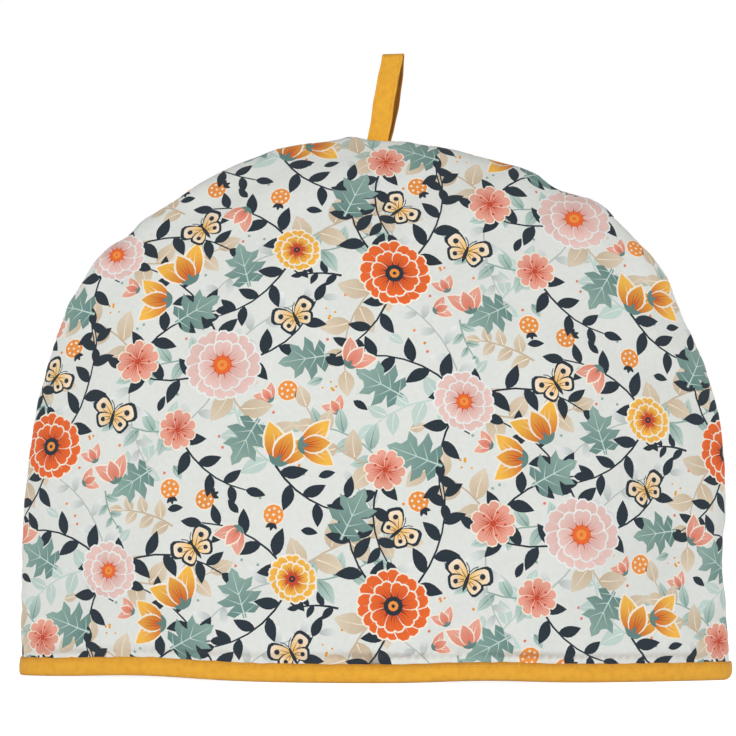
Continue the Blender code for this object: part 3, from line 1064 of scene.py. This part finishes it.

# The tape's section, up its outer face and down again behind it, then up and down its inner face
# Each row's shade is painted shade: darkest round the bottom's under-curve and in the recess under the cloth
# at the top
OUTER_SECTION = table("out height lift puff shade", [
    (TAPE_FACE - 0.00075, 0.0, 0.0, 0.0, 0.55),
    (TAPE_FACE - 0.00030, 0.00012, 0.0, 0.2, 0.70),
    (TAPE_FACE + 0.00006, 0.00050, 0.0, 0.6, 0.86),
    (TAPE_FACE + 0.00036, 0.0012, 0.0, 1.0, 0.96),
    (TAPE_FACE + 0.00060, 0.0024, 0.0, 1.0, 1.0),
    (TAPE_FACE + 0.00066, 0.0037, 0.2, 1.0, 1.0),
    (TAPE_FACE + 0.00054, 0.0050, 0.6, 0.8, 1.0),
    (TAPE_FACE + 0.00020, 0.0062, 0.9, 0.5, 0.94),
    (TAPE_FACE - 0.00022, TAPE_HEIGHT - TAPE_STITCH_DROP, 1.0, 0.4, 0.84),
    (TAPE_FACE - 0.00030, TAPE_HEIGHT - 0.0013, 1.0, 0.4, 0.78),
    (TAPE_FACE - 0.00054, TAPE_HEIGHT - 0.0007, 1.0, 0.4, 0.70),
    (TAPE_FACE - 0.00086, TAPE_HEIGHT - 0.0002, 1.0, 0.2, 0.62),
    (GAP, TAPE_HEIGHT - 0.0002, 1.0, 0.0, 0.60),
    (GAP, TAPE_THICKNESS, 0.0, 0.0, 0.60),
])
INNER_SECTION = table("clearance height", [
    (GAP, TAPE_THICKNESS),
    (GAP, TAPE_HEIGHT - 0.0002),
    (GAP + 0.0006, TAPE_HEIGHT),
    (TAPE_FACE, TAPE_HEIGHT - 0.0005),
    (TAPE_FACE + 0.0001, 0.0032),
    (TAPE_FACE, 0.0005),
    (TAPE_FACE - 0.0005, 0.0),
])


def trim_piece(name, places, faces, material, uv=None, painted_shades=None):
    """A tape's, strap's or thread's mesh, with its place on the flat cloth and its painted shade."""
    mesh = new_mesh(name, [tuple(place) for place in places], faces, material)
    mesh.set_sharp_from_angle(angle=radians(60))
    if uv:
        layer = mesh.uv_layers.new(name="cloth")
        for polygon in mesh.polygons:
            for corner in polygon.loop_indices:
                layer.data[corner].uv = uv(mesh.loops[corner].vertex_index, polygon)
    if painted_shades is not None:
        # Painted shade, kept as a colour that the cloth's colour is multiplied by
        layer = mesh.color_attributes.new("shade", "FLOAT_COLOR", "POINT")
        colours = np.column_stack([painted_shades[:, None] ** PAINTED_SHADE_WARMTH, np.ones(len(painted_shades))])
        layer.data.foreach_set("color", colours.ravel())
    return put(name, mesh)


def skin(rings, closed=False):
    """Faces between each ring of point numbers and the next one, and back to the first if closed."""
    rings = np.array(rings)
    beyond = np.roll(rings, -1, axis=0)
    sides = np.stack([rings, np.roll(rings, -1, axis=1), np.roll(beyond, -1, axis=1), beyond], axis=-1)
    return (sides if closed else sides[:-1]).reshape(-1, 4).tolist()


def turn_outwards(piece):
    bm = bmesh.new()
    bm.from_mesh(piece.data)
    bmesh.ops.recalc_face_normals(bm, faces=bm.faces[:])
    bm.to_mesh(piece.data)
    bm.free()


def run_of(line, closed=False):
    """How far along a line each of its points is, with the whole length last on a closed one."""
    ends = np.concatenate([line, line[:1]]) if closed else line
    return np.concatenate([[0], np.cumsum(np.linalg.norm(np.diff(ends, axis=0), axis=1))])


def along_line(at, run, line, closed=False):
    """Places this far along a line, one for each number in at."""
    ends = np.concatenate([line, line[:1]]) if closed else line
    return np.stack([np.interp(at, run, ends[:, k]) for k in range(line.shape[1])], axis=-1)


def outer_hem_ring(front, back):
    """The panels' outer hem line, once round from the left seam, seen from above."""
    steps = np.linspace(0, 1, HALF_HEM_STEPS)
    halves = []
    for cloth in (front, back):
        left = cloth.smooth(np.full(len(steps), pi), steps[::-1])
        right = cloth.smooth(np.zeros(len(steps) - 1), steps[1:])
        half = np.concatenate([left, right])[:, :2]
        half[0, 1] = half[-1, 1] = 0.0
        halves.append(half)
    ring = np.concatenate([halves[0], halves[1][::-1][1:-1]])
    run = run_of(ring, True)
    return along_line(np.linspace(0, run[-1], BINDING_STATIONS, endpoint=False), run, ring, True)


def ring_normals(ring):
    ahead = np.roll(ring, -1, axis=0) - np.roll(ring, 1, axis=0)
    normals = np.stack([ahead[:, 1], -ahead[:, 0]], axis=1)
    return normals / np.linalg.norm(normals, axis=1, keepdims=True)


def inner_hem_ring(ring, clearance):
    """The lens inside the panels' inner hem line, this far clear of it, met from each outer station."""
    half_width = PANEL_HALF_WIDTH - HEM_SEAM_WIDTH
    half_depth = GAP / 2 + HEM_HALF_DEPTH - HEM_THICKNESS
    half_width -= clearance / sin(atan2(2 * half_depth, half_width))
    half_depth -= clearance
    x = ring[:, 0] * half_width / np.abs(ring[:, 0]).max()
    return np.stack([x, np.sign(ring[:, 1]) * half_depth * (1 - (x / half_width) ** 2)], axis=1)


def binding_piece(front, back, material):
    """The folded tape: a U round both panels' hem, its outer edge turned under and stitched down."""
    ring = outer_hem_ring(front, back)
    normals = ring_normals(ring)
    run = run_of(ring, True)
    along = run[:-1]
    rise = TAPE_RISE * ripple(along * 1.7, 0.4)
    swell = TAPE_SWELL * ripple(along * 0.8, 2.2)
    raised = hem_lift(ring[:, 0], 0.0) * (ring[:, 1] < 0)
    tip = np.abs(normals[:, 0]) ** 4
    slim = 1 - TIP_SLIMMING * tip
    # The painted shade is deeper in places and at the tips
    painted_shade_deepening = 0.8 + 0.3 * np.sin(ring[:, 0] / 0.043 + 0.9) + 0.4 * tip

    def at_height(line, height, lift=0.0, x=ring[:, 0]):
        return np.column_stack([line, height + rise * lift + raised + corner_lift(x, height)])

    lines = []
    painted_shades = []
    for row in OUTER_SECTION:
        line = ring + normals * ((row["out"] + swell * row["puff"]) * slim)[:, None]
        lines.append(at_height(line, row["height"], row["lift"]))
        # Painted shade: the row's own, deepened by place, and darker again at the tape's tips
        painted_shades.append((1 - (1 - row["shade"]) * painted_shade_deepening) * (1 - 0.2 * tip))
    for row in INNER_SECTION:
        line = inner_hem_ring(ring, row["clearance"])
        lines.append(at_height(line, row["height"], x=line[:, 0]))
        painted_shades.append(np.full(len(ring), TAPE_INNER_PAINTED_SHADE))
    count = len(ring)
    faces = skin(np.arange(len(lines) * count).reshape(-1, count), True)
    up = run_of(np.array([line[0] for line in lines]), True)

    def uv(vertex, polygon):
        number, station = divmod(vertex, count)
        wrapped = station == 0 and any(v % count == count - 1 for v in polygon.vertices)
        folded = number == 0 and any(v // count == len(lines) - 1 for v in polygon.vertices)
        return run[-1 if wrapped else station], up[-1 if folded else number]

    piece = trim_piece("hem_tape", np.concatenate(lines), faces, material, uv, np.concatenate(painted_shades))
    stitch_line = ring + normals * ((TAPE_FACE - 0.00016) * slim)[:, None]
    path = at_height(stitch_line, TAPE_HEIGHT - TAPE_STITCH_DROP, 1.0)
    return piece, path, np.column_stack([normals, np.zeros(count)]), float(run[-1])


def stitches(name, path, sides, closed, material):
    """Lock stitches along a path: short plump lengths of thread that dip into the cloth at each end."""
    run = run_of(path, closed)
    count = int(run[-1] / STITCH_PITCH)
    corners = np.arange(STITCH_CORNERS)
    places = []
    faces = []
    for number in range(count):
        middle = (number + 0.5) * run[-1] / count
        rings = []
        for part, girth, lift in STITCH_RINGS:
            at = middle + part * STITCH_LENGTH
            out = along_line(at, run, sides, closed)
            ahead = (along_line(at + STITCH_LOOK, run, path, closed)
                     - along_line(at - STITCH_LOOK, run, path, closed))
            across = np.cross(ahead / np.linalg.norm(ahead), out)
            rings.append(corners + len(places))
            for corner in corners:
                turn = 2 * pi * corner / STITCH_CORNERS
                places.append(along_line(at, run, path, closed)
                              + out * THREAD_RADIUS * (lift + girth * cos(turn))
                              + across * THREAD_RADIUS * girth * sin(turn))
        faces += skin(rings) + [rings[0][::-1].tolist(), rings[-1].tolist()]
    piece = trim_piece(name, places, faces, material)
    turn_outwards(piece)
    return piece


def loop_placing(crown):
    slant = (tan(LOOP_LEAN) * cos(LOOP_TURN), -tan(LOOP_LEAN) * sin(LOOP_TURN))
    return (Matrix.Translation((LOOP_X, 0.0, crown))
            @ Matrix.Rotation(LOOP_TURN, 4, "Z")
            @ Matrix.Shear("XY", 4, slant))


def strap_line():
    """The folded strap's middle line in its own plane, as rows of (y, z), front end first."""
    closed_half = STRAP_THICKNESS / 2 + GAP / 2
    top = LOOP_HEIGHT - STRAP_THICKNESS / 2
    z = np.linspace(-LOOP_ROOT, top - closed_half, STRAP_SIDE_STEPS)
    half = closed_half + LOOP_BULGE * np.sin(pi * np.clip(z / LOOP_HEIGHT, 0, 1)) ** 1.2
    bend = np.linspace(0.2, pi - 0.2, STRAP_FOLD_STEPS)
    fold = np.stack([-closed_half * np.cos(bend), top - closed_half + closed_half * np.sin(bend)], axis=1)
    return np.concatenate([np.stack([-half, z], axis=1), fold, np.stack([half, z], axis=1)[::-1]])


def strap_sway(line, run):
    """How far the strap wanders sideways: its two layers part a little at the root and the middle."""
    up = np.clip(line[:, 1] / LOOP_HEIGHT, 0, 1)
    behind = np.clip(0.5 + line[:, 0] / (STRAP_THICKNESS + GAP), 0, 1)
    front = -0.0017 + 0.0047 * up - 0.0042 * up ** 2
    back = -0.0006 + 0.0019 * up - 0.0022 * up ** 2
    waves = 0.00016 * np.sin(run / 0.0061) + 0.0001 * np.sin(run / 0.0023 + 1)
    return front + (back - front) * behind + waves


def strap_piece(crown, material):
    """The strap: a flat tube of cloth, its long edges rounded, with a shallow dip under the stitching."""
    line = strap_line()
    ahead = np.gradient(line, axis=0)
    ahead /= np.linalg.norm(ahead, axis=1, keepdims=True)
    out = np.stack([-ahead[:, 1], ahead[:, 0]], axis=1)
    half = STRAP_THICKNESS / 2
    wide = STRAP_WIDTH / 2
    groove = wide - STRAP_STITCH_INSET
    right = [(0.0, 0.92), (wide * 0.35, 0.96), (groove - 0.0004, 1.0), (groove, 0.74),
             (groove + 0.0003, 1.02), (wide - 0.0004, 1.0), (wide - 0.00012, 0.7), (wide, 0.0)]
    section = mirrored(right[1:]) + right
    ring = section + [(x, -side) for x, side in section[-2:0:-1]]
    run = run_of(line)
    sway = strap_sway(line, run)
    placing = loop_placing(crown)
    places = []
    painted_shades = []
    for number in range(len(line)):
        # Painted shade: the faces between the two layers dark, the edges and stitch dips a little darker, and
        # a darker line along the fold at the top
        folded = 1 - 0.25 * bell(LOOP_HEIGHT - line[number, 1], 0.0012)
        for x, side in ring:
            y, z = line[number] + out[number] * half * side
            places.append(placing @ Vector((x + sway[number], y, z)))
            painted_shades.append(STRAP_INNER_PAINTED_SHADE if side < 0 else (0.85 + 0.15 * side) * folded)
    count = len(ring)
    rings = np.arange(len(places)).reshape(-1, count)
    faces = skin(rings) + [rings[0, ::-1].tolist(), rings[-1].tolist()]

    def uv(vertex, _):
        number, k = divmod(vertex, count)
        return ring[k][0] + (0.02 if k >= len(section) else 0.0), run[number]

    piece = trim_piece("loop_strap", places, faces, material, uv, np.array(painted_shades))
    turn_outwards(piece)
    threads = []
    for place in (-groove, groove):
        path = []
        sides = []
        for number in range(STRAP_UNSEWN_STEPS, len(line) - STRAP_UNSEWN_STEPS):
            y, z = line[number] + out[number] * half * STRAP_THREAD_LEVEL
            path.append(placing @ Vector((place + sway[number], y, z)))
            sides.append(placing.to_3x3() @ Vector((0, *out[number])))
        threads.append((np.array(path), np.array(sides)))
    return piece, threads, float(run[-1])


# ================================================================ materials
MUSTARD = (240, 175, 46)
MUSTARD_DEEP = (226, 158, 38)
THREAD = (232, 172, 62)
# How far a wave texture of scale 1 turns in a metre, in radians
WAVE_RATE = 20
# Each cloth's shine, its unevenness, the pitch and turn of its weave and how strongly they show
PRINTED_COTTON, MUSTARD_TAPE = table(
    "roughness sheen uneven_scale uneven_share pitch turn strength distance", [
        (0.85, 0.12, 420, 0.6, 0.00085, 0, 0.22, 0.00012),
        (0.78, 0.15, 300, 0.8, 0.00048, radians(45), 0.35, 0.0001),
    ])
FLOOR_WHITE = 0.93
FLOOR_GLOW = 0.85


def new_material(name, roughness, sheen):
    material = bpy.data.materials.new(name)
    material.use_nodes = True
    inputs = material.node_tree.nodes["Principled BSDF"].inputs
    for socket, value in (("Roughness", roughness), ("Sheen Weight", sheen), ("Sheen Roughness", 0.6),
                          ("Specular IOR Level", 0.25)):
        inputs[socket].default_value = value
    return material, material.node_tree, inputs


def add_node(tree, kind, links=(), values=(), **settings):
    """A node with its links (socket, source), its sockets' own values and its settings."""
    node = tree.nodes.new("ShaderNode" + kind)
    for name, value in settings.items():
        setattr(node, name, value)
    for socket, value in values:
        node.inputs[socket].default_value = value
    for socket, source in links:
        tree.links.new(source, node.inputs[socket])
    return node


def calculate(tree, operation, first, second):
    """Arithmetic on a source and either another source or a number."""
    fixed = isinstance(second, float)
    links = [(0, first)] if fixed else [(0, first), (1, second)]
    return add_node(tree, "Math", links, [(1, second)] if fixed else (), operation=operation).outputs["Value"]


def remap(tree, source, start, stop, low=0.0, high=1.0, **settings):
    """A source carried from start..stop to low..high."""
    values = (("From Min", start), ("From Max", stop), ("To Min", low), ("To Max", high))
    return add_node(tree, "MapRange", [("Value", source)], values, **settings).outputs["Result"]


def fabric(name, roughness, sheen, uneven_scale, uneven_share, pitch, turn, strength, distance):
    """Woven cloth: threads over and under, as crossed waves in the flat cloth's metres, and a soft noise."""
    material, tree, inputs = new_material(name, roughness, sheen)
    cloth = add_node(tree, "UVMap", uv_map="cloth").outputs["UV"]
    uneven = add_node(tree, "TexNoise", [("Vector", cloth)],
                      [("Scale", uneven_scale), ("Detail", 3)]).outputs["Fac"]
    turned = add_node(tree, "Mapping", [("Vector", cloth)], [("Rotation", (0, 0, turn))]).outputs["Vector"]
    waves = [add_node(tree, "TexWave", [("Vector", turned)], [("Scale", 2 * pi / (WAVE_RATE * pitch))],
                      wave_type="BANDS", bands_direction=way).outputs["Fac"] for way in "XY"]
    height = calculate(tree, "ADD", calculate(tree, "MULTIPLY", *waves),
                       calculate(tree, "MULTIPLY", uneven, uneven_share))
    bump = add_node(tree, "Bump", [("Height", height)], [("Strength", strength), ("Distance", distance)])
    tree.links.new(bump.outputs["Normal"], inputs["Normal"])
    return material, tree, inputs, uneven


def printed_material():
    """Printed cotton: the print's colours from the mesh, a little uneven, on a plain weave."""
    material, tree, inputs, uneven = fabric("printed_cotton_cloth", **PRINTED_COTTON)
    ink = add_node(tree, "Attribute", attribute_name="print").outputs["Color"]
    shade = remap(tree, uneven, start=0.25, stop=0.75, low=0.955, high=1.02)
    mixed = add_node(tree, "VectorMath", [(0, ink), ("Scale", shade)], operation="SCALE")
    tree.links.new(mixed.outputs["Vector"], inputs["Base Color"])
    return material


def tape_material():
    """Mustard tape cut on the bias: a fine diagonal weave, deeper in places, and with painted shade in its
    folds.
    """
    material, tree, inputs, uneven = fabric("mustard_tape_cloth", **MUSTARD_TAPE)
    blend = add_node(tree, "Mix", [("Factor", remap(tree, uneven, start=0.2, stop=0.6))],
                     [("A", (*linear(MUSTARD_DEEP), 1)), ("B", (*linear(MUSTARD), 1))], data_type="RGBA")
    # Painted shade from the mesh, multiplied into the tape's colour
    shade = add_node(tree, "Attribute", attribute_name="shade").outputs["Color"]
    shaded = add_node(tree, "VectorMath", [(0, blend.outputs["Result"]), (1, shade)], operation="MULTIPLY")
    tree.links.new(shaded.outputs["Vector"], inputs["Base Color"])
    return material


def thread_material():
    material, _, inputs = new_material("mustard_thread", 0.55, 0.1)
    inputs["Base Color"].default_value = (*linear(THREAD), 1)
    return material


# ================================================================ floor, light and camera
FLOOR_RADIUS = 60.0
FLOOR_DROP = 0.0002
FLOOR_CORNERS = 64
# How bright the surroundings are by height: 0 at the horizon, 1 overhead, -1 underfoot
SKY = table("start stop low high", [(0.17, 0.42, 1.01, 0.09), (-0.20, -0.01, 0.30, 1.0)])
LIGHTS = table("name place power", [
    ("key", (-1.6, -1.6, 0.45), 28.0),
    ("fill", (1.6, -1.6, 0.35), 27.5),
    ("rear_left", (-1.2, 1.9, 0.45), 18.0),
    ("rear_right", (1.2, 1.9, 0.45), 18.0),
])
LIGHT_AIM = (0, 0, 0.12)
LIGHT_WIDTH = 1.4
CAMERA_PLACE = (-0.0041, -1.500, 0.073)
CAMERA_PITCH = radians(2.818)
CAMERA_ROLL = radians(0.35)
LENS = 154
SENSOR_WIDTH = 36


def add_floor():
    material, _, inputs = new_material("floor_white", 0.9, 0.0)
    inputs["Base Color"].default_value = (FLOOR_WHITE, FLOOR_WHITE, FLOOR_WHITE, 1)
    inputs["Emission Color"].default_value = (1, 1, 1, 1)
    inputs["Emission Strength"].default_value = FLOOR_GLOW
    ring = [(x, y, -FLOOR_DROP) for x, y in disc(FLOOR_RADIUS, FLOOR_CORNERS)]
    floor = put("floor", new_mesh("floor", ring, [list(range(FLOOR_CORNERS))], material))
    floor.visible_diffuse = False


def add_surroundings():
    """A white horizon all round, with a softer sky above it and less light from underfoot."""
    world = bpy.data.worlds.new("studio")
    world.use_nodes = True
    tree = world.node_tree
    direction = add_node(tree, "TexCoord").outputs["Generated"]
    height = add_node(tree, "SeparateXYZ", [("Vector", direction)]).outputs["Z"]
    shares = [remap(tree, height, **row, interpolation_type="SMOOTHSTEP") for row in SKY]
    background = tree.nodes["Background"]
    background.inputs["Color"].default_value = (1, 1, 1, 1)
    tree.links.new(calculate(tree, "MULTIPLY", *shares), background.inputs["Strength"])
    bpy.context.scene.world = world


def add_light(name, place, power):
    data = bpy.data.lights.new(name, "AREA")
    data.shape = "SQUARE"
    data.size = LIGHT_WIDTH
    data.energy = power
    light = put(name, data)
    light.location = place
    light.rotation_euler = (Vector(LIGHT_AIM) - Vector(place)).to_track_quat("-Z", "Y").to_euler()


def add_camera():
    data = bpy.data.cameras.new("camera")
    data.lens = LENS
    data.sensor_width = SENSOR_WIDTH
    camera = put("camera", data)
    camera.matrix_world = (Matrix.Translation(CAMERA_PLACE)
                           @ Matrix.Rotation(pi / 2 + CAMERA_PITCH, 4, "X")
                           @ Matrix.Rotation(CAMERA_ROLL, 4, "Z"))
    bpy.context.scene.camera = camera


# ================================================================ putting it together
FRONT_SHIFT = (-20.0, 6.0)
BACK_SHIFT = (34.0, -30.0)


def dress():
    printed = printed_material()
    tape = tape_material()
    thread = thread_material()
    front = PanelCloth(-1, FRONT_FORMS, FRONT_CREASES, 0.6)
    back = PanelCloth(1, BACK_FORMS, BACK_CREASES, 3.1)
    crown = float(front.smooth(np.array([pi / 2]), np.array([1.0]))[0, 2])
    repeat = make_repeat()
    for name, node, cloth, shift in (("front_cloth", "front_panel", front, FRONT_SHIFT),
                                     ("back_cloth", "back_panel", back, BACK_SHIFT)):
        piece = panel_piece(name, cloth, repeat, shift, printed)
        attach(piece, "root")
        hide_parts(node)
    binding, path, sides, length = binding_piece(front, back, tape)
    hem_stitches = stitches("hem_stitches", path, sides, True, thread)
    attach(binding, "root")
    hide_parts("hem_binding")
    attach(hem_stitches, "root")
    strap, threads, strap_length = strap_piece(crown, tape)
    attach(strap, "root")
    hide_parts("hanging_loop")
    for number, (path, sides) in enumerate(threads):
        row = stitches("loop_stitches_%d" % number, path, sides, False, thread)
        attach(row, "root")


dress()
add_floor()
add_surroundings()
for row in LIGHTS:
    add_light(**row)
add_camera()
bpy.context.scene.view_settings.view_transform = "Standard"
